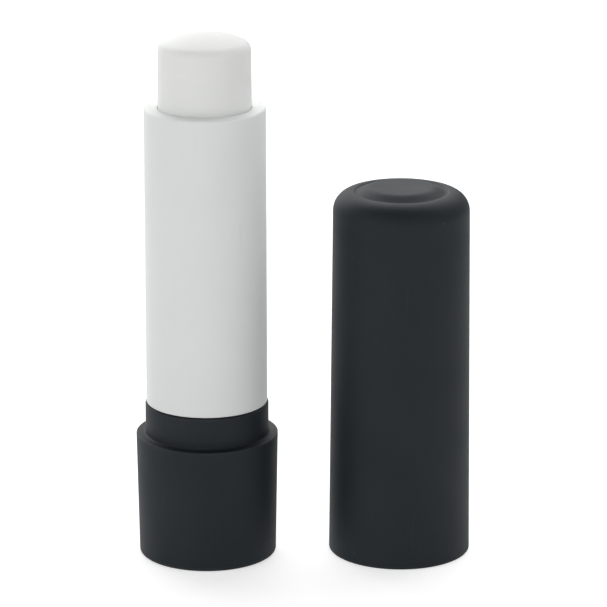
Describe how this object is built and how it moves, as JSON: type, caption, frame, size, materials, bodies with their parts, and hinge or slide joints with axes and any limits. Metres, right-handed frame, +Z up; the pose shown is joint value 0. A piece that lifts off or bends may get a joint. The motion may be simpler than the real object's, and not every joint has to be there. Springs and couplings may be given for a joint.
{
  "type": "lip balm stick",
  "caption": "Slim round twist-up lip balm with a dark turning base, white tube, domed white balm and a matching dark cap standing beside it.",
  "frame": {"origin": "centre of the stick's foot, on the surface that it stands on", "axes": "+Z up the stick's axis towards the balm, +X towards the cap that stands beside it, +Y away from the camera"},
  "size_m": [0.0449, 0.0201, 0.0714],
  "materials": {
    "dark_plastic": "satin charcoal moulded plastic",
    "white_plastic": "satin white moulded plastic",
    "inner_plastic": "natural moulded plastic",
    "balm": "smooth white balm"
  },
  "bodies": {
    "base": {"base": "dark_plastic", "spindle": "inner_plastic"},
    "tube": {"tube": "white_plastic"},
    "carrier": {"carrier": "inner_plastic", "balm": "balm"},
    "cap": {"cap": "dark_plastic"}
  },
  "joints": [
    {"name": "twist", "type": "hinge", "parent": "base", "child": "tube", "pos_m": [0, 0, 0], "axis": [0, 0, -1], "range_deg": [-842.4, 2275.2]},
    {"name": "balm_lift", "type": "slide", "parent": "tube", "child": "carrier", "axis": [0, 0, 1], "range_m": [-0.01171, 0.03161]},
    {"name": "cap_lift", "type": "slide", "parent": "base", "child": "cap", "axis": [0, 0, 1], "range_m": [0, 0.08]}
  ],
  "couplings": [
    {"joint": "balm_lift", "follows": "twist", "m_per_rad": 0.00079577}
  ]
}
